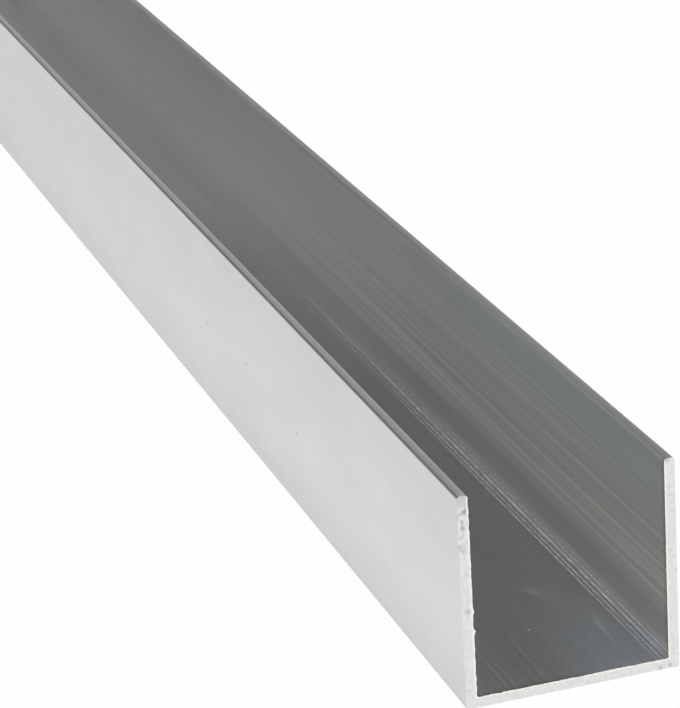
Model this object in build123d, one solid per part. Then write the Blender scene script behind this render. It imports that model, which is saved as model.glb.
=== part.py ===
from build123d import *
from math import isclose
import os

# Aluminium U-channel stock: one extruded bar with a flat base and two equal upright legs.
# It lies on its base along Y, open at the top and at both sawn ends.

# Driving dimensions in millimetres
stock_length = 1000.0
channel_width = 40.0  # across the outside faces of the legs
leg_height = 40.0  # from the underside of the base to the leg tips
base_thickness = 2.0
leg_thickness = 2.0
tip_radius = 0.5  # rounds both long edges of each leg tip
root_radius = 0.3  # fillet between each leg and the base, inside the channel
heel_radius = 0.3  # rounds the two long edges under the base

# Each of a tip's two roundings takes at most this share of the leg's thickness
tip_share = 0.45


def rounded_at(section, reach, level, radius):
    """Round the two corners of the section this far from its middle and at this height."""

    def is_corner(vertex):
        return isclose(abs(vertex.X), reach) and isclose(vertex.Y, level, abs_tol=1e-6)

    return fillet(section.vertices().filter_by(is_corner), radius)


def channel_section():
    """The bar's section, with its underside on the X axis and its legs along +Y."""
    outside = channel_width / 2
    inside = outside - leg_thickness
    outline = Polyline(
        (-outside, 0),
        (outside, 0),
        (outside, leg_height),
        (inside, leg_height),
        (inside, base_thickness),
        (-inside, base_thickness),
        (-inside, leg_height),
        (-outside, leg_height),
        close=True,
    )
    tip_rounding = min(tip_radius, leg_thickness * tip_share)
    section = make_face(outline)
    section = rounded_at(section, outside, leg_height, tip_rounding)
    section = rounded_at(section, inside, leg_height, tip_rounding)
    section = rounded_at(section, inside, base_thickness, root_radius)
    return rounded_at(section, outside, 0, heel_radius)


def u_channel():
    """The whole bar: its section stands in the XZ plane and runs half its length each way."""
    return extrude(Plane.XZ * channel_section(), amount=stock_length / 2, both=True)


os.makedirs("parts", exist_ok=True)
export_step(u_channel(), "parts/u_channel.step")
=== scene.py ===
import bmesh
import bpy
import math
import random
from mathutils import Matrix, Vector


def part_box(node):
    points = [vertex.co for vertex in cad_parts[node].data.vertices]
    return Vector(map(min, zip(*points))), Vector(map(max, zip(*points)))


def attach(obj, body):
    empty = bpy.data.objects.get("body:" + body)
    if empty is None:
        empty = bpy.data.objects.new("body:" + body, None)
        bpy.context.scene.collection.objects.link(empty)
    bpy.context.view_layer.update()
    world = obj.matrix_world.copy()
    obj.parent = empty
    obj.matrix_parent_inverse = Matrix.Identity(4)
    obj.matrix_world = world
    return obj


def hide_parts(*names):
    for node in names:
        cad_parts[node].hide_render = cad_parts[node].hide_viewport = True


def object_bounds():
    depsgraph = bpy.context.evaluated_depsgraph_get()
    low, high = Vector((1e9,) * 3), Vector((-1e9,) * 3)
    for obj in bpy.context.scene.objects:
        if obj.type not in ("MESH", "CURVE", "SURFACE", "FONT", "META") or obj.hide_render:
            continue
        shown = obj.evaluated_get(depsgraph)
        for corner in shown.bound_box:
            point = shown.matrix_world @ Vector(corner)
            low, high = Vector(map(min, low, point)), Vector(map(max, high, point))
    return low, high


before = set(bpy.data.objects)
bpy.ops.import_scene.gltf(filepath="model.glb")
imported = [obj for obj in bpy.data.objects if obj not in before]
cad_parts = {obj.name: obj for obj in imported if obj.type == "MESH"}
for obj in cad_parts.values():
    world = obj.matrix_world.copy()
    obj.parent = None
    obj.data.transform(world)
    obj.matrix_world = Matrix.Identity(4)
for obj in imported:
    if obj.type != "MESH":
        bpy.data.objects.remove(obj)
cadLow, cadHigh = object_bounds()  # the CAD box, before anything is modelled
mm = 0.001
squareOn = 0.9  # a normal with this much of an axis in it faces along that axis


def linear(hexColour):
    # sRGB hex to the linear colour that a socket takes
    shares = [int(hexColour[i:i + 2], 16) / 255 for i in (1, 3, 5)]
    return [s / 12.92 if s <= 0.04045 else ((s + 0.055) / 1.055) ** 2.4 for s in shares] + [1.0]


def addNode(tree, kind, inputs=None, **settings):
    # an input is a plain value, another node (its first output) or one of its sockets
    made = tree.nodes.new("ShaderNode" + kind)
    for name, value in settings.items():
        setattr(made, name, value)
    for name, value in (inputs or {}).items():
        if isinstance(value, bpy.types.Node):
            value = value.outputs[0]
        if isinstance(value, bpy.types.NodeSocket):
            tree.links.new(value, made.inputs[name])
        else:
            made.inputs[name].default_value = value
    return made


def newMaterial(name):
    material = bpy.data.materials.new(name)
    material.use_nodes = True
    material.node_tree.nodes.clear()
    return material, material.node_tree


def fillRamp(ramp, stops):
    # a stop is a place from 0 to 1 and a hex colour or a plain grey level
    points = ramp.color_ramp.elements
    for i, (at, tone) in enumerate(stops):
        point = points[i] if i < len(points) else points.new(at)
        point.position = at
        point.color = linear(tone) if isinstance(tone, str) else (tone, tone, tone, 1.0)
    return ramp


def placeInMm(tree):
    # Object coordinates in millimetres, whole and taken apart
    place = addNode(tree, "Mapping", {"Vector": addNode(tree, "TexCoord").outputs["Object"],
                                      "Scale": (1 / mm, 1 / mm, 1 / mm)})
    return place, addNode(tree, "SeparateXYZ", {0: place})


def softSpot(tree, place, centre, halves, turn=0.0):
    # 1 at the centre, fading to 0 at the half sizes, and turned by degrees about Z
    around = addNode(tree, "Mapping", {"Vector": place, "Location": centre, "Scale": halves,
                                       "Rotation": (0, 0, math.radians(turn))}, vector_type="TEXTURE")
    return addNode(tree, "TexGradient", {"Vector": around}, gradient_type="SPHERICAL").outputs["Fac"]


# Edit-mode helpers: pick by place or normal, cut right through by a plane

def pick(piece, kind, test):
    bpy.ops.mesh.select_mode(type={"verts": "VERT", "edges": "EDGE", "faces": "FACE"}[kind])
    bpy.ops.mesh.select_all(action="DESELECT")
    shape = bmesh.from_edit_mesh(piece.data)
    shape.normal_update()
    for item in getattr(shape, kind):
        if test(item):
            item.select_set(True)
    shape.select_flush_mode()
    bmesh.update_edit_mesh(piece.data)


def cut(axis, place):
    bpy.ops.mesh.select_all(action="SELECT")
    at = Vector((0, 0, 0))
    at["XYZ".index(axis)] = place
    bpy.ops.mesh.bisect(plane_co=at, plane_no=[float(axis == a) for a in "XYZ"], threshold=1e-7)


def near(a, b, room=2e-6):
    return abs(a - b) < room


def unevenPlaces(start, stop, gaps, draw):
    places = [start + draw.uniform(*gaps)]
    while places[-1] < stop - gaps[0]:
        places.append(places[-1] + draw.uniform(*gaps))
    return [p for p in places if p < stop]


# The bar: a base plate whose two edge strips are pulled up into the legs
bar = {
    "low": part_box("u_channel")[0],
    "high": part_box("u_channel")[1],
    "wall": 2.0 * mm,
    "tip": 0.5 * mm,  # rounding of both long edges of a leg tip
    "tipSteps": 6,
    "root": 0.3 * mm,  # fillet where a leg meets the base
    "heel": 0.3 * mm,  # rounding of the two long edges underneath
    "cornerSteps": 5,  # of a root or a heel
    "seed": 7,
    "lineGap": (0.3 * mm, 0.75 * mm),  # between one die line and the next
    "ringGap": (30 * mm, 55 * mm),  # between cross cuts, so that lines can fade along the bar
    "endCuts": (0.35 * mm, 1.6 * mm),  # close to each end, so that the saw's burr stays at the very edge
    "ridgeHalf": 0.14 * mm,  # half the width of a pick-up ridge beside an inside corner
    "ridgeFoot": 0.05 * mm,  # beside a ridge, so that its shading stays at the ridge
    "baseRidges": ((1.2 * mm, 0.020 * mm), (2.05 * mm, 0.014 * mm)),  # off the leg, height
    "legRidges": (  # off the base, height
        (1.1 * mm, 0.040 * mm), (2.1 * mm, 0.028 * mm), (2.85 * mm, 0.022 * mm),
    ),
}


def modelBar():
    low, high, wall = bar["low"], bar["high"], bar["wall"]
    outside = high.x
    inside = outside - wall
    bpy.ops.object.select_all(action="DESELECT")
    bpy.ops.mesh.primitive_cube_add(size=1, location=(0, 0, wall / 2))
    piece = bpy.context.object
    piece.name = "extrudedBar"
    piece.scale = (high.x - low.x, high.y - low.y, wall)
    bpy.ops.object.transform_apply(location=True, rotation=True, scale=True)
    bpy.ops.object.mode_set(mode="EDIT")
    for side in (-1, 1):
        cut("X", side * inside)
    pick(piece, "faces", lambda f: f.normal.z > squareOn and abs(f.calc_center_median().x) > inside)
    bpy.ops.mesh.extrude_region_move(TRANSFORM_OT_translate={"value": (0, 0, high.z - wall)})
    print("bar pulled up from its base plate")

    def longEdge(x, z):
        def test(edge):
            a, b = (v.co for v in edge.verts)
            return all(near(abs(v.x), x) and near(v.z, z) for v in (a, b)) and not near(a.y, b.y)
        return test

    for x, z, radius, steps in (
        (outside, high.z, bar["tip"], bar["tipSteps"]),
        (inside, high.z, bar["tip"], bar["tipSteps"]),
        (inside, wall, bar["root"], bar["cornerSteps"]),
        (outside, 0, bar["heel"], bar["cornerSteps"]),
    ):
        pick(piece, "edges", longEdge(x, z))
        bpy.ops.mesh.bevel(offset=radius, segments=steps, affect="EDGES", clamp_overlap=False)
    print("long edges rounded")

    # Die lines run the whole length; each cut is one line that the relief can raise or sink
    draw = random.Random(bar["seed"])
    for x in unevenPlaces(-inside + bar["root"], inside - bar["root"], bar["lineGap"], draw):
        cut("X", x)
    for z in unevenPlaces(wall + bar["root"], high.z - bar["tip"], bar["lineGap"], draw):
        cut("Z", z)
    half = bar["ridgeHalf"]
    foot = half + bar["ridgeFoot"]
    ridgeCuts = (-foot, -half, 0, half, foot)
    for offLeg, _ in bar["baseRidges"]:
        for side in (-1, 1):
            for step in ridgeCuts:
                cut("X", side * (inside - offLeg) + step)
    for offBase, _ in bar["legRidges"]:
        for step in ridgeCuts:
            cut("Z", wall + offBase + step)
    for y in unevenPlaces(low.y, high.y, bar["ringGap"], draw):
        cut("Y", y)
    for back in bar["endCuts"]:
        for side in (-1, 1):
            cut("Y", side * (high.y - back))

    # Ridges: the middle line of each is raised
    for offLeg, height in bar["baseRidges"]:
        pick(piece, "verts", lambda v: near(abs(v.co.x), inside - offLeg) and near(v.co.z, wall))
        bpy.ops.transform.translate(value=(0, 0, height))
    for offBase, height in bar["legRidges"]:
        for side in (-1, 1):
            pick(piece, "verts", lambda v: near(v.co.x, side * inside) and near(v.co.z, wall + offBase))
            bpy.ops.transform.translate(value=(-side * height, 0, 0))
    bpy.ops.object.mode_set(mode="OBJECT")
    print("die lines and ridges cut:", len(piece.data.vertices), "points before the ends")
    return piece


# The two sawn ends: a rim with a ragged burr, and a face torn by the saw
sawnEnd = {
    "rim": 0.22 * mm,
    "acrossRoom": 0.1 * mm,  # by which an edge across the wall may differ in length
    "gridCuts": 6,  # across the wall, so that the face can be torn
    "seed": 5,
    "lipReach": 0.06 * mm,  # round the channel's outline, where the edge is ragged
    "lipRagged": 0.11 * mm,
    "lipRight": 0.04 * mm,  # the right leg's edge is cleaner
    "burrReach": 0.15 * mm,  # round the outline, where the burr stands off the cut
    "burrOut": 0.06 * mm,
    "edgeReach": 0.2 * mm,  # round an edge of the left leg, where teeth and turned-up burr start
    "teeth": ((14.4 * mm, 0.30 * mm), (18.5 * mm, 0.20 * mm)),  # height of a tooth, how far it leans in
    "toothHalf": 0.4 * mm,
    "tipUp": 0.07 * mm,  # burr turned up along the left tip
    "tipReach": 0.05 * mm,
}


def onOutline(place, reach):
    # this close to the channel's inner outline, seen along the bar
    inside = bar["high"].x - bar["wall"]
    onLeg = near(abs(place.x), inside, reach) and place.z > bar["wall"]
    onBase = near(place.z, bar["wall"], reach) and abs(place.x) < inside
    return onLeg or onBase


def sawEnds(piece):
    low, high, wall = bar["low"], bar["high"], bar["wall"]
    inside = high.x - wall
    bpy.ops.object.mode_set(mode="EDIT")
    pick(piece, "faces", lambda f: abs(f.normal.y) > squareOn)
    piece.active_material_index = 1
    bpy.ops.object.material_slot_assign()
    bpy.ops.mesh.inset(thickness=sawnEnd["rim"], use_boundary=True, use_even_offset=True)
    across = wall - 2 * sawnEnd["rim"]

    def crossesWall(edge):
        a, b = (v.co for v in edge.verts)
        onEnd = near(abs(a.y), high.y) and near(a.y, b.y)
        return onEnd and near(edge.calc_length(), across, sawnEnd["acrossRoom"])

    pick(piece, "edges", crossesWall)
    bpy.ops.mesh.subdivide(number_cuts=sawnEnd["gridCuts"])

    def onLip(v):
        return near(abs(v.co.y), high.y) and onOutline(v.co, sawnEnd["lipReach"])

    rightFrom = inside - wall
    pick(piece, "verts", lambda v: onLip(v) and v.co.x < rightFrom)
    bpy.ops.transform.vertex_random(offset=sawnEnd["lipRagged"], seed=sawnEnd["seed"])
    pick(piece, "verts", lambda v: onLip(v) and v.co.x > rightFrom)
    bpy.ops.transform.vertex_random(offset=sawnEnd["lipRight"], seed=sawnEnd["seed"])

    reach = sawnEnd["burrReach"]
    for end in (-1, 1):
        pick(piece, "verts", lambda v: near(v.co.y, end * high.y, reach) and onOutline(v.co, reach))
        bpy.ops.transform.translate(value=(0, end * sawnEnd["burrOut"], 0))

    # Two teeth and a turned-up tip on the left leg, at the near end only
    edgeReach = sawnEnd["edgeReach"]
    for height, lean in sawnEnd["teeth"]:
        pick(piece, "verts", lambda v: v.co.y < low.y + edgeReach and near(v.co.x, -inside, edgeReach)
             and near(v.co.z, height, sawnEnd["toothHalf"]))
        bpy.ops.transform.translate(value=(lean, 0, 0))
    pick(piece, "verts", lambda v: v.co.y < low.y + edgeReach and v.co.x < -inside - edgeReach
         and near(v.co.z, high.z, sawnEnd["tipReach"]))
    bpy.ops.transform.translate(value=(0, -sawnEnd["tipUp"], sawnEnd["tipUp"]))
    bpy.ops.object.mode_set(mode="OBJECT")
    print("ends sawn:", len(piece.data.vertices), "points")


# Relief that a straightedge would find: shallow die lines, broad waves, torn metal on the cuts.
# Sizes are in mm, and stretch says how many times longer than wide the forms are
relief = {
    "lines": {"size": 0.5, "stretch": 400.0, "strength": 0.020 * mm, "depth": 2, "group": "dieFaces"},
    "waves": {"size": 7.0, "stretch": 400.0, "strength": 0.05 * mm, "depth": 1, "group": "dieFaces"},
    "torn": {"size": 0.6, "stretch": 1.0, "strength": 0.09 * mm, "depth": 2, "group": "sawnFaces"},
    "outsideShare": 0.35,  # of the relief, on the outer faces
    "skin": 0.1 * mm,  # a point this close to the channel's faces lies on them
    "smoothAngle": 35.0,  # degrees; sharper edges stay sharp
}


def addRelief(piece):
    wall, skin = bar["wall"], relief["skin"]
    inside = bar["high"].x - wall
    bpy.context.view_layer.objects.active = piece
    onSide = set()
    for face in piece.data.polygons:
        if abs(face.normal.y) < squareOn:
            onSide.update(face.vertices)
    sawn, inner, outer = [], [], []
    for v in piece.data.vertices:
        if v.index not in onSide:
            sawn.append(v.index)
        elif abs(v.co.x) < inside + skin and v.co.z > wall - skin:
            inner.append(v.index)
        else:
            outer.append(v.index)
    dieFaces = piece.vertex_groups.new(name="dieFaces")
    dieFaces.add(inner, 1.0, "REPLACE")
    dieFaces.add(outer, relief["outsideShare"], "REPLACE")
    sawnFaces = piece.vertex_groups.new(name="sawnFaces")
    sawnFaces.add(sawn, 1.0, "REPLACE")
    guide = bpy.data.objects.new("reliefGuide", None)
    bpy.context.scene.collection.objects.link(guide)
    for job in (relief["lines"], relief["waves"], relief["torn"]):
        guide.scale = (mm, job["stretch"] * mm, mm)
        bpy.context.view_layer.update()
        cloud = bpy.data.textures.new("reliefCloud", "CLOUDS")
        cloud.noise_scale = job["size"]
        cloud.noise_depth = job["depth"]
        push = piece.modifiers.new("relief", "DISPLACE")
        push.texture = cloud
        push.texture_coords = "OBJECT"
        push.texture_coords_object = guide
        push.strength = job["strength"]
        push.mid_level = 0.5
        push.vertex_group = job["group"]
        bpy.ops.object.modifier_apply(modifier=push.name)
        bpy.data.textures.remove(cloud)
    bpy.data.objects.remove(guide)
    piece.vertex_groups.clear()
    bpy.ops.object.shade_smooth_by_angle(angle=math.radians(relief["smoothAngle"]))
    print("relief pressed in")


# Mill finish on every face that the die shaped. Places and sizes are in mm. A ramp that goes up a leg
# runs from 0 to 1 over its height, and one along the bar over fadeReach
millFinish = {
    "maskRoom": 0.3,  # by which a mask passes the channel's faces
    "fadeReach": 300.0,  # from a sawn end; lines, streaks and tints change over this stretch
    "tints": ("#ECECEB", "#EBECED"),  # the metal itself, in broad bands
    "bandWidth": 5.0,
    "floorPaintedShades": ("#D6D6D7", "#F9F8F8"),  # painted shade: the channel's floor is darker by the ends than away from them
    "legLightAndTints": (  # painted light and shade up a leg's inner face, by the ends: darker low down, lighter above, a breath warmer half-way up and cooler at the tip
        (0.08, "#EEEDEC"), (0.235, "#EEEDEC"), (0.285, "#FEFCF8"),
        (0.50, "#FEFCF8"), (0.70, "#FBFDFF"), (0.90, "#F8FDFF"),
    ),
    # painted light and shade up a leg half-way along the bar: darker low down and towards the tip
    "midLegLightAndTints": (
        (0.08, "#EDECEB"), (0.235, "#EDECEB"), (0.285, "#FDFDFC"),
        (0.50, "#FDFDFC"), (0.70, "#F7F7F6"), (0.90, "#F2F1F1"),
    ),
    "midFade": (0.25, 0.6),  # along the bar, where the colour goes out of the legs
    # painted light and shade up a leg far from the ends: darker low down and towards the tip
    "farLegLightAndTints": ((0.15, "#E5E4E4"), (0.30, "#EDECEC"), (0.55, "#EDECEC"), (0.90, "#E4E3E4")),
    "farFrom": 0.5,  # along the bar, where the far tints begin
    "paintedLightAlongBar": (  # painted light and shade along the channel: darker by the ends, paler towards the middle
        (0.0, 0.95), (0.1, 1.0), (0.42, 1.0), (0.6, 1.045), (0.83, 1.085), (1.0, 1.12),
    ),
    "burrShadow": {"From Min": 0.3, "From Max": 1.5, "To Min": 0.75, "To Max": 1.0},  # painted shade beside the burr: the channel darkens towards each sawn end
    # painted shade on the outer faces by height: darker towards the bottom and the top
    "outsideShades": ((0.02, 0.81), (0.15, 0.87), (0.35, 0.909), (0.60, 0.905), (0.92, 0.879)),
    "tipDepth": 0.45,
    "tipShades": (  # painted light and shade across the bar, from the left leg to the right: the left leg's inner rounding and the right tip darker, the right leg's inner rounding lighter
        (-18.5, 0.955), (-18.3, 0.70), (18.0, 1.2), (18.3, 1.2), (18.55, 0.70),
    ),
    "mottleSize": 11.0,  # cloudy handling marks on the outside
    "mottleLength": 26.0,
    "mottle": {"From Min": 0.3, "From Max": 0.7, "To Min": 0.976, "To Max": 1.024},
    "streakWidth": 0.27,  # finer ones are too small to show
    "streakLength": 500.0,  # times longer than wide
    "streak": {"From Min": 0.36, "From Max": 0.66, "To Min": -0.7, "To Max": 1.2},
    "streakDepth": 0.15,
    "streakHeight": 0.002,  # of the bump that goes with a streak
    "crowdWidth": 2.0,  # streaks gather in bands about this wide
    "crowd": {"From Min": 0.35, "From Max": 0.65, "To Min": 0.5, "To Max": 1.3},
    "legStreaks": ((0.235, 0.06), (0.285, 1.0), (0.60, 1.0), (0.78, 0.6), (0.95, 0.25)),  # up a leg
    "floorStreaks": 0.06,
    "outsideStreaks": 0.04,
    "streaksFade": ((0.0, 1.0), (0.40, 1.0), (1.0, 0.2)),
    "leftShare": 0.4,  # of the streaks and corner lines, in the left half
    "leftBlend": 1.0,  # half the width over which that changes
    "grainSize": 0.35,  # coarser than the real grain, which is too fine to show
    "grainDepth": 0.10,
    "rough": {"From Min": -1.0, "From Max": 1.0, "To Min": 0.42, "To Max": 0.50},  # by the streaks
    "cornerLines": (  # from the inside corner, up the leg or (below 0) along the base, and strength
        (-2.05, 0.75), (-1.20, 1.0), (-0.25, 1.2), (1.10, 1.15), (2.10, 0.55), (2.85, 0.25),
    ),
    "cornerReach": 4.5,
    "lineHalf": 0.20,
    "linesFade": ((0.0, 0.35), (0.14, 1.0), (0.33, 1.0), (0.75, 0.12), (1.0, 0.0)),
    "beadLength": 1.6,  # drawn longer than the real beads, which are too small to show
    "beadWidth": 0.5,
    "bead": {"From Min": 0.38, "From Max": 0.62, "To Min": 0.2, "To Max": 1.45},
    "blueReflection": "#D1D7DE",  # painted bluish reflection on the channel's floor by the near end
    "blueReflectionPlace": (10.0, -502.0, 2.0),
    "blueReflectionHalves": (16.0, 56.0, 3.0),
    "blueReflectionLevel": 0.8,
    "tick": "#B4B5B5",  # small nicks outside the left leg
    "ticks": ((-20.0, -339.0, 18.5), (-20.0, -370.1, 19.6), (-20.0, -404.6, 16.5)),
    "tickHalves": (0.5, 1.1, 0.45),
    "scuffed": "#FBFCFE",
    "scuffMatt": 0.9,  # share of its metal look that a scuff loses
    "scuffRough": 0.25,
    "wispSize": 0.9,
    "wisp": {"From Min": 0.35, "From Max": 0.65, "To Min": 0.2, "To Max": 1.2},
    "marks": (  # centre, half sizes, turn in degrees, strength of the scuff
        ((7.2, -465.2, 2.0), (2.0, 5.5, 1.0), 31.0, 0.16),
        ((12.3, -482.0, 2.0), (0.9, 5.5, 1.0), -4.0, 0.22),
        ((-0.2, -479.0, 2.0), (0.35, 0.6, 0.5), 0.0, 0.8),
        ((18.0, -477.7, 11.4), (0.5, 0.8, 0.4), 0.0, 0.8),
        ((17.5, -440.6, 2.1), (0.5, 0.9, 0.5), 0.0, 1.0),
    ),
}


def millFinishAluminium():
    # Mill-finish extruded aluminium: pale grey metal, half matt, streaked along the length by the die,
    # with bright beady pick-up lines in the inside corners, and painted light and shade in the channel,
    # on the tips and outside
    material, tree = newMaterial("millFinishAluminium")
    wall, tall, outside = bar["wall"] / mm, bar["high"].z / mm, bar["high"].x / mm
    inside, room = outside - wall, millFinish["maskRoom"]
    place, spot = placeInMm(tree)
    side = addNode(tree, "Math", {0: spot.outputs["X"]}, operation="ABSOLUTE")
    height = spot.outputs["Z"]
    upLeg = addNode(tree, "Math", {0: height, 1: tall}, operation="DIVIDE")
    offMiddle = addNode(tree, "Math", {0: spot.outputs["Y"]}, operation="ABSOLUTE")
    fromEnd = addNode(tree, "Math", {0: bar["high"].y / mm, 1: offMiddle}, operation="SUBTRACT")
    alongBar = addNode(tree, "Math", {0: fromEnd, 1: millFinish["fadeReach"]}, operation="DIVIDE")

    # Masks: inside the channel, and on a leg's face there
    between = addNode(tree, "Math", {0: side, 1: inside + room}, operation="LESS_THAN")
    above = addNode(tree, "Math", {0: height, 1: wall - room}, operation="GREATER_THAN")
    inChannel = addNode(tree, "Math", {0: between, 1: above}, operation="MULTIPLY")
    byLeg = addNode(tree, "Math", {0: side, 1: inside - room}, operation="GREATER_THAN")
    onLeg = addNode(tree, "Math", {0: byLeg, 1: inChannel}, operation="MULTIPLY")

    # Streaks that gather in bands, strongest up the legs inside, and a fine grain in the channel
    drawn = addNode(tree, "Mapping", {"Vector": place,
                                      "Scale": (1.0, 1 / millFinish["streakLength"], 1.0)})
    streaks = addNode(tree, "TexNoise", {"Vector": drawn, "Scale": 1 / millFinish["streakWidth"],
                                         "Detail": 1.0})
    streaks = addNode(tree, "MapRange", {"Value": streaks, **millFinish["streak"]})
    crowd = addNode(tree, "TexNoise", {"Vector": drawn, "Scale": 1 / millFinish["crowdWidth"],
                                       "Detail": 1.0})
    crowd = addNode(tree, "MapRange", {"Value": crowd, **millFinish["crowd"]})
    streaks = addNode(tree, "Math", {0: streaks, 1: crowd}, operation="MULTIPLY")
    legStreaks = fillRamp(addNode(tree, "ValToRGB", {0: upLeg}), millFinish["legStreaks"])
    streaksFade = fillRamp(addNode(tree, "ValToRGB", {0: alongBar}), millFinish["streaksFade"])
    bySide = addNode(tree, "MapRange", {
        "Value": spot.outputs["X"],
        "From Min": -millFinish["leftBlend"], "From Max": millFinish["leftBlend"],
        "To Min": millFinish["leftShare"], "To Max": 1.0,
    })
    strength = addNode(tree, "Mix", {0: inChannel, 2: millFinish["outsideStreaks"],
                                     3: millFinish["floorStreaks"]})
    strength = addNode(tree, "Mix", {0: onLeg, 2: strength, 3: legStreaks})
    for factor in (streaksFade, bySide):
        strength = addNode(tree, "Math", {0: strength, 1: factor}, operation="MULTIPLY")
    drawnIn = addNode(tree, "Math", {0: streaks, 1: strength}, operation="MULTIPLY")
    shade = addNode(tree, "Math", {0: drawnIn, 1: millFinish["streakDepth"], 2: 1.0},
                    operation="MULTIPLY_ADD")
    grain = addNode(tree, "TexNoise", {"Vector": place, "Scale": 1 / millFinish["grainSize"],
                                       "Detail": 1.0})
    grain = addNode(tree, "Math", {0: grain, 1: 0.5}, operation="SUBTRACT")
    grain = addNode(tree, "Math", {0: grain, 1: inChannel}, operation="MULTIPLY")
    shade = addNode(tree, "Math", {0: grain, 1: millFinish["grainDepth"], 2: shade},
                    operation="MULTIPLY_ADD")

    # Colour: near-neutral metal with painted light and shade up the legs and on the channel's floor; by
    # the ends a breath warmer half-way up the legs and cooler at the tips
    bands = addNode(tree, "TexNoise", {"Vector": drawn, "Scale": 1 / millFinish["bandWidth"],
                                       "Detail": 1.0})
    oneBand, nextBand = (linear(tint) for tint in millFinish["tints"])
    metal = addNode(tree, "Mix", {0: bands, 6: oneBand, 7: nextBand}, data_type="RGBA").outputs[2]
    legLightAndTint, midLegLightAndTint, farLegLightAndTint = (
        fillRamp(addNode(tree, "ValToRGB", {0: upLeg}), millFinish[stops])
        for stops in ("legLightAndTints", "midLegLightAndTints", "farLegLightAndTints")
    )
    midFrom, midTo = millFinish["midFade"]
    midWay = addNode(tree, "MapRange", {"Value": alongBar, "From Min": midFrom, "From Max": midTo})
    farOff = addNode(tree, "MapRange", {"Value": alongBar, "From Min": millFinish["farFrom"]})
    legLightAndTint = addNode(tree, "Mix", {0: midWay, 6: legLightAndTint, 7: midLegLightAndTint}, data_type="RGBA").outputs[2]
    legLightAndTint = addNode(tree, "Mix", {0: farOff, 6: legLightAndTint, 7: farLegLightAndTint}, data_type="RGBA").outputs[2]
    endFloorShade, farFloorShade = (linear(tint) for tint in millFinish["floorPaintedShades"])
    floorPaintedShade = addNode(tree, "Mix", {0: farOff, 6: endFloorShade, 7: farFloorShade}, data_type="RGBA").outputs[2]

    # The outside: painted shade by height, darker towards the bottom and the top, clouded by handling
    outsideShadeAndMottle = fillRamp(addNode(tree, "ValToRGB", {0: upLeg}), millFinish["outsideShades"])
    longer = millFinish["mottleSize"] / millFinish["mottleLength"]
    mottle = addNode(tree, "VectorMath", {0: place, 1: (1.0, longer, 1.0)}, operation="MULTIPLY")
    mottle = addNode(tree, "TexNoise", {"Vector": mottle, "Scale": 1 / millFinish["mottleSize"],
                                        "Detail": 4.0, "Roughness": 0.6, "Distortion": 0.3})
    mottle = addNode(tree, "MapRange", {"Value": mottle, **millFinish["mottle"]})
    outsideShadeAndMottle = addNode(tree, "Mix", {0: 1.0, 6: outsideShadeAndMottle, 7: mottle},
                          data_type="RGBA", blend_type="MULTIPLY").outputs[2]
    # the channel's tints carry painted light and shade; outside, painted shade and the handling mottle
    tint = addNode(tree, "Mix", {0: inChannel, 6: outsideShadeAndMottle, 7: floorPaintedShade}, data_type="RGBA").outputs[2]
    tint = addNode(tree, "Mix", {0: onLeg, 6: tint, 7: legLightAndTint}, data_type="RGBA").outputs[2]

    # Painted light and shade along the channel and across the tips
    burrShadowed = addNode(tree, "MapRange", {"Value": fromEnd, **millFinish["burrShadow"]})
    paintedLightAlongBar = fillRamp(addNode(tree, "ValToRGB", {0: alongBar}), millFinish["paintedLightAlongBar"])
    channelShade = addNode(tree, "Math", {0: burrShadowed, 1: paintedLightAlongBar}, operation="MULTIPLY")
    channelShade = addNode(tree, "Mix", {0: inChannel, 2: 1.0, 3: channelShade})
    across = addNode(tree, "MapRange", {"Value": spot.outputs["X"], "From Min": -outside,
                                        "From Max": outside})
    tipStops = [((at + outside) / (2 * outside), level) for at, level in millFinish["tipShades"]]
    tipShade = fillRamp(addNode(tree, "ValToRGB", {0: across}), tipStops)
    atTip = addNode(tree, "Math", {0: height, 1: tall - millFinish["tipDepth"]}, operation="GREATER_THAN")
    tipShade = addNode(tree, "Mix", {0: atTip, 2: 1.0, 3: tipShade})
    for layer in (tint, shade, channelShade, tipShade):
        metal = addNode(tree, "Mix", {0: 1.0, 6: metal, 7: layer},
                        data_type="RGBA", blend_type="MULTIPLY").outputs[2]

    # The painted bluish reflection and the nicks
    blueReflectionMask = softSpot(tree, place, millFinish["blueReflectionPlace"], millFinish["blueReflectionHalves"])
    blueReflectionMask = addNode(tree, "MapRange", {"Value": blueReflectionMask, "To Max": millFinish["blueReflectionLevel"]},
                    interpolation_type="SMOOTHERSTEP")
    blueReflectionMask = addNode(tree, "Math", {0: blueReflectionMask, 1: inChannel}, operation="MULTIPLY")
    covers = [(blueReflectionMask, millFinish["blueReflection"])]
    for centre in millFinish["ticks"]:
        covers.append((softSpot(tree, place, centre, millFinish["tickHalves"]), millFinish["tick"]))
    for cover, tone in covers:
        metal = addNode(tree, "Mix", {0: cover, 6: metal, 7: linear(tone)}, data_type="RGBA").outputs[2]

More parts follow.
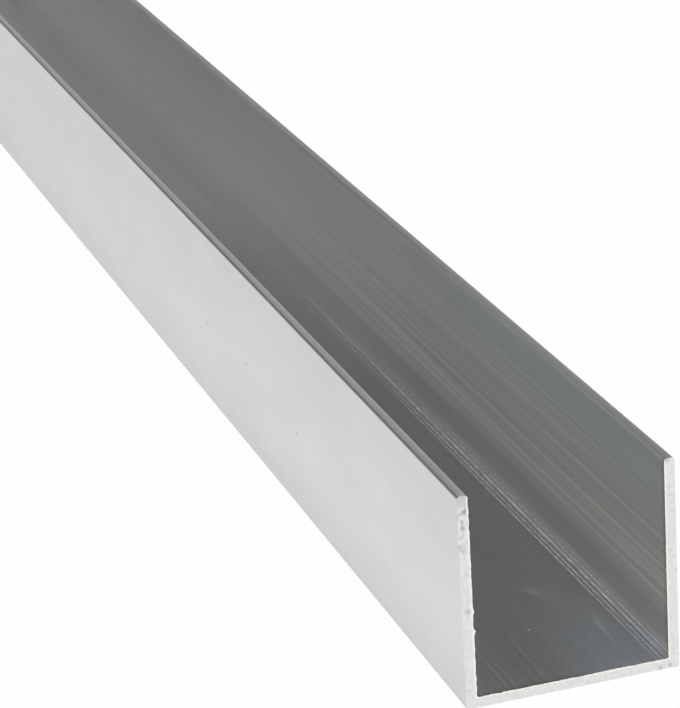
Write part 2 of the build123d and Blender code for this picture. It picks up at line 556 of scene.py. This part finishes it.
    # Pick-up lines beside the inside corner, broken into beads; side plus height is outside at the corner
    reach, half = millFinish["cornerReach"], millFinish["lineHalf"]
    offCorner = addNode(tree, "Math", {0: side, 1: height}, operation="ADD")
    offCorner = addNode(tree, "MapRange", {"Value": offCorner, "From Min": outside - reach,
                                           "From Max": outside + reach})
    stops = [(-reach, 0.0)]
    for middle, level in millFinish["cornerLines"]:
        stops += [(middle - half, 0.0), (middle, level), (middle + half, 0.0)]
    lineStops = [((at + reach) / (2 * reach), level) for at, level in stops]
    scuff = fillRamp(addNode(tree, "ValToRGB", {0: offCorner}), lineStops)
    beadShape = (1 / millFinish["beadWidth"], 1 / millFinish["beadLength"], 1 / millFinish["beadWidth"])
    beads = addNode(tree, "Mapping", {"Vector": place, "Scale": beadShape})
    beads = addNode(tree, "TexNoise", {"Vector": beads, "Scale": 1.0, "Detail": 2.0})
    beads = addNode(tree, "MapRange", {"Value": beads, **millFinish["bead"]})
    linesFade = fillRamp(addNode(tree, "ValToRGB", {0: alongBar}), millFinish["linesFade"])
    for factor in (beads, linesFade, bySide, inChannel):
        scuff = addNode(tree, "Math", {0: scuff, 1: factor}, operation="MULTIPLY")

    # Scuffs and specks, torn into wisps
    wisps = addNode(tree, "TexNoise", {"Vector": place, "Scale": 1 / millFinish["wispSize"],
                                       "Detail": 3.0})
    wisps = addNode(tree, "MapRange", {"Value": wisps, **millFinish["wisp"]})
    for centre, halves, turn, level in millFinish["marks"]:
        mark = softSpot(tree, place, centre, halves, turn)
        for factor in (wisps, level):
            mark = addNode(tree, "Math", {0: mark, 1: factor}, operation="MULTIPLY")
        scuff = addNode(tree, "Math", {0: scuff, 1: mark}, operation="MAXIMUM")
    scuff = addNode(tree, "Math", {0: scuff, 1: 1.0}, operation="MINIMUM")
    colour = addNode(tree, "Mix", {0: scuff, 6: metal, 7: linear(millFinish["scuffed"])},
                     data_type="RGBA").outputs[2]
    rough = addNode(tree, "MapRange", {"Value": streaks, **millFinish["rough"]})
    shader = addNode(tree, "BsdfPrincipled", {
        "Base Color": colour,
        "Metallic": addNode(tree, "Math", {0: scuff, 1: -millFinish["scuffMatt"], 2: 1.0},
                            operation="MULTIPLY_ADD"),
        "Roughness": addNode(tree, "Math", {0: scuff, 1: millFinish["scuffRough"], 2: rough},
                             operation="MULTIPLY_ADD"),
        "Normal": addNode(tree, "Bump", {"Height": drawnIn, "Distance": millFinish["streakHeight"] * mm}),
    })
    addNode(tree, "OutputMaterial", {"Surface": shader})
    print("mill finish mixed")
    return material


# Bare metal where the saw went through; places and sizes are in mm
sawnMetal = {
    "clean": "#E5E5E3",
    "grey": "#CACDCD",
    "tornPatch": 0.8,
    "patch": {"From Min": 0.42, "From Max": 0.75, "To Min": 0.1, "To Max": 0.7},
    "tornHeight": 0.03,  # of the bump that goes with a torn patch
    "rough": {"To Min": 0.46, "To Max": 0.56},
    "dabAndShadeGrey": "#B4BABA",
    "dabsAndCornerShade": (  # across, up, size; the one at the right leg's inner top corner is painted shade of its rounding, the others dull dabs
        (16.4, 0.45, 0.7), (18.35, 0.6, 0.6), (18.3, 39.7, 0.9), (-18.9, 18.4, 0.75),
    ),
    "pit": "#8D9496",
    "pitSize": 0.9,
    "pits": {"From Min": 0.48, "From Max": 0.64, "To Max": 0.75},
    "torn": {"From Min": 27.0, "From Max": 35.0, "To Min": 0.09},  # height to share of the pits, left leg
    "topGrey": "#C8CCCD",  # greyer at the top of the left leg's cut
    "topReach": 2.2,
    "topSoft": 0.6,
    "rim": "#F5F2E8",  # burr folded over along the inner edge
    "rimLeft": "#EFEFEC",
    "rimReach": 0.4,
    "rimSoft": 0.3,
    "waverSize": 0.3,  # of the rim's wavy outline
    "waverDepth": 0.5,
}


def sawnAluminium():
    # Fresh saw-cut aluminium: whiter than the drawn faces and matt, brightest where the burr folded over,
    # torn grey near the top of one leg
    material, tree = newMaterial("sawnAluminium")
    wall, tall, nearEnd = bar["wall"] / mm, bar["high"].z / mm, bar["low"].y / mm
    inside = bar["high"].x / mm - wall
    place, spot = placeInMm(tree)
    height = spot.outputs["Z"]
    onLeft = addNode(tree, "Math", {0: spot.outputs["X"], 1: -inside}, operation="LESS_THAN")
    side = addNode(tree, "Math", {0: spot.outputs["X"]}, operation="ABSOLUTE")
    offLeg = addNode(tree, "Math", {0: side, 1: inside}, operation="SUBTRACT")
    offFloor = addNode(tree, "Math", {0: wall, 1: height}, operation="SUBTRACT")
    fromInside = addNode(tree, "Math", {0: offLeg, 1: offFloor}, operation="MAXIMUM")

    # Clean metal with greyer torn patches, a few dull dabs and painted shade at the right leg's inner top
    # corner
    patches = addNode(tree, "TexNoise", {"Vector": place, "Scale": 1 / sawnMetal["tornPatch"],
                                         "Detail": 3.0})
    patches = addNode(tree, "MapRange", {"Value": patches, **sawnMetal["patch"]})
    clean, grey = linear(sawnMetal["clean"]), linear(sawnMetal["grey"])
    colour = addNode(tree, "Mix", {0: patches, 6: clean, 7: grey}, data_type="RGBA").outputs[2]
    covers = []
    for x, z, size in sawnMetal["dabsAndCornerShade"]:
        covers.append((softSpot(tree, place, (x, nearEnd, z), (size, size, size)), sawnMetal["dabAndShadeGrey"]))

    # Pits down the left leg, and its greyer top
    pits = addNode(tree, "TexNoise", {"Vector": place, "Scale": 1 / sawnMetal["pitSize"], "Detail": 2.0})
    pits = addNode(tree, "MapRange", {"Value": pits, **sawnMetal["pits"]})
    torn = addNode(tree, "MapRange", {"Value": height, **sawnMetal["torn"]})
    pits = addNode(tree, "Math", {0: pits, 1: torn}, operation="MULTIPLY")
    greyTopFrom = tall - sawnMetal["topReach"]
    greyTop = addNode(tree, "MapRange", {"Value": height, "From Min": greyTopFrom,
                                         "From Max": greyTopFrom + sawnMetal["topSoft"]})
    for cover, tone in ((pits, sawnMetal["pit"]), (greyTop, sawnMetal["topGrey"])):
        covers.append((addNode(tree, "Math", {0: cover, 1: onLeft}, operation="MULTIPLY"), tone))
    for cover, tone in covers:
        colour = addNode(tree, "Mix", {0: cover, 6: colour, 7: linear(tone)}, data_type="RGBA").outputs[2]

    # The folded rim, with a wavy outline
    waver = addNode(tree, "TexNoise", {"Vector": place, "Scale": 1 / sawnMetal["waverSize"],
                                       "Detail": 2.0})
    rimEdge = addNode(tree, "Math", {0: waver, 1: sawnMetal["waverDepth"], 2: fromInside},
                      operation="MULTIPLY_ADD")
    folded = addNode(tree, "MapRange", {
        "Value": rimEdge, "From Min": sawnMetal["rimReach"],
        "From Max": sawnMetal["rimReach"] + sawnMetal["rimSoft"], "To Min": 1.0, "To Max": 0.0,
    })
    rim = addNode(tree, "Mix", {0: onLeft, 6: linear(sawnMetal["rim"]), 7: linear(sawnMetal["rimLeft"])},
                  data_type="RGBA").outputs[2]
    colour = addNode(tree, "Mix", {0: folded, 6: colour, 7: rim}, data_type="RGBA").outputs[2]
    shader = addNode(tree, "BsdfPrincipled", {
        "Base Color": colour,
        "Metallic": 1.0,
        "Roughness": addNode(tree, "MapRange", {"Value": patches, **sawnMetal["rough"]}),
        "Normal": addNode(tree, "Bump", {"Height": patches, "Distance": sawnMetal["tornHeight"] * mm}),
    })
    addNode(tree, "OutputMaterial", {"Surface": shader})
    print("sawn metal mixed")
    return material


barPiece = modelBar()
barPiece.data.materials.append(millFinishAluminium())
barPiece.data.materials.append(sawnAluminium())
sawEnds(barPiece)
addRelief(barPiece)
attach(barPiece, "root")
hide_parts("u_channel")


# Studio: white paper floor, a bright room in front and at the sides, a dim one behind the bar
studio = {
    "floorSize": 60.0,
    "paper": "#F2F2F2",
    "floorWhite": 0.96,  # share of plain white that the floor shows by itself
    "roomLevel": 1.5,
    "topLevel": 1.0,  # straight overhead
    "topFrom": 0.6,  # height on the sky's dome where it starts to fall off
    "openWay": Vector((0.34, -0.94, 0.0)),  # towards the bright part of the room
    "openFrom": -0.31,
    "openTo": -0.1,
    "backLeft": 0.1,  # the dim part, brighter to the right than to the left
    "backRight": 1.05,
    "backHalf": 0.4,  # half the width on the dome over which that changes
    "backFall": ((0.0, 0.3), (0.18, 1.0), (0.24, 1.0), (0.5, 0.0)),  # height on the dome, share of light
    "lampPlace": Vector((-1.44, -1.06, 1.16)),  # softbox at the front left
    "lampAim": Vector((0.0, -0.3, 0.0)),
    "lampSize": 1.2,
    "lampWatts": 4.0,
}


def whitePaper():
    # White paper: shows plain white, and the rest of it takes the bar's soft shadow
    material, tree = newMaterial("whitePaper")
    rays = addNode(tree, "LightPath")
    seen = addNode(tree, "Math", {0: rays.outputs["Is Camera Ray"], 1: rays.outputs["Is Glossy Ray"]},
                   operation="ADD")
    seen = addNode(tree, "Math", {0: seen, 1: rays.outputs["Is Transmission Ray"]},
                   operation="ADD", use_clamp=True)
    share = addNode(tree, "Math", {0: seen, 1: studio["floorWhite"]}, operation="MULTIPLY")
    matt = addNode(tree, "BsdfDiffuse", {"Color": linear(studio["paper"])})
    white = addNode(tree, "Emission", {"Color": linear("#FFFFFF"), "Strength": 1.0})
    mixed = addNode(tree, "MixShader", {0: share, 1: matt, 2: white})
    addNode(tree, "OutputMaterial", {"Surface": mixed})
    return material


def layFloor():
    bpy.ops.object.select_all(action="DESELECT")
    bpy.ops.mesh.primitive_plane_add(size=studio["floorSize"], location=(0, 0, cadLow.z))
    floor = bpy.context.object
    floor.name = "paperFloor"
    floor.data.materials.append(whitePaper())
    print("floor laid")


def lightRoom():
    world = bpy.data.worlds.new("softRoom")
    world.use_nodes = True
    tree = world.node_tree
    tree.nodes.clear()
    way = addNode(tree, "TexCoord").outputs["Generated"]
    apart = addNode(tree, "SeparateXYZ", {0: way})
    height = apart.outputs["Z"]
    room = addNode(tree, "MapRange", {
        "Value": height, "From Min": studio["topFrom"], "From Max": 1.0,
        "To Min": studio["roomLevel"], "To Max": studio["topLevel"],
    }, interpolation_type="SMOOTHSTEP")
    across = addNode(tree, "MapRange", {
        "Value": apart.outputs["X"], "From Min": -studio["backHalf"], "From Max": studio["backHalf"],
        "To Min": studio["backLeft"], "To Max": studio["backRight"],
    }, interpolation_type="SMOOTHSTEP")
    fall = fillRamp(addNode(tree, "ValToRGB", {0: height}), studio["backFall"])
    dim = addNode(tree, "Math", {0: across, 1: fall}, operation="MULTIPLY")
    facing = addNode(tree, "VectorMath", {0: way, 1: studio["openWay"].normalized()},
                     operation="DOT_PRODUCT")
    opening = addNode(tree, "MapRange", {
        "Value": facing.outputs["Value"], "From Min": studio["openFrom"], "From Max": studio["openTo"],
    }, interpolation_type="SMOOTHSTEP")
    level = addNode(tree, "Mix", {0: opening, 2: dim, 3: room})
    light = addNode(tree, "Background", {"Color": linear("#FFFFFF"), "Strength": level})
    addNode(tree, "OutputWorld", {"Surface": light})
    bpy.context.scene.world = world

    box = bpy.data.lights.new("softbox", "AREA")
    box.energy = studio["lampWatts"]
    box.shape = "DISK"
    box.size = studio["lampSize"]
    lamp = bpy.data.objects.new("softbox", box)
    bpy.context.scene.collection.objects.link(lamp)
    lamp.location = studio["lampPlace"]
    lamp.rotation_euler = (studio["lampAim"] - studio["lampPlace"]).to_track_quat("-Z", "Y").to_euler()
    lamp.visible_camera = False
    print("room lit")


# Camera: fitted to the bar's edges in the 680 x 708 photograph
camera = {
    "place": Vector((-0.17458, -0.94862, 0.24479)),
    "lens": 155.78,  # mm
    "sensor": 36.0,  # mm along the picture's longer side
    "turn": -16.837,  # degrees to the right of +Y are negative
    "dip": 20.548,  # degrees below level
    "roll": -3.595,
    "clip": (0.01, 200.0),  # metres
}


def standCamera():
    lens = bpy.data.cameras.new("photoCamera")
    lens.lens = camera["lens"]
    lens.sensor_width = camera["sensor"]
    lens.sensor_fit = "AUTO"
    lens.clip_start, lens.clip_end = camera["clip"]
    stand = bpy.data.objects.new("photoCamera", lens)
    bpy.context.scene.collection.objects.link(stand)
    aim = Matrix.Rotation(math.radians(camera["turn"]), 4, "Z")
    aim @= Matrix.Rotation(math.radians(90 - camera["dip"]), 4, "X")
    aim @= Matrix.Rotation(math.radians(camera["roll"]), 4, "Z")
    stand.matrix_world = Matrix.Translation(camera["place"]) @ aim
    bpy.context.scene.camera = stand
    print("camera stands at", tuple(round(c, 4) for c in camera["place"]))


layFloor()
lightRoom()
standCamera()
bpy.context.scene.view_settings.view_transform = "Standard"
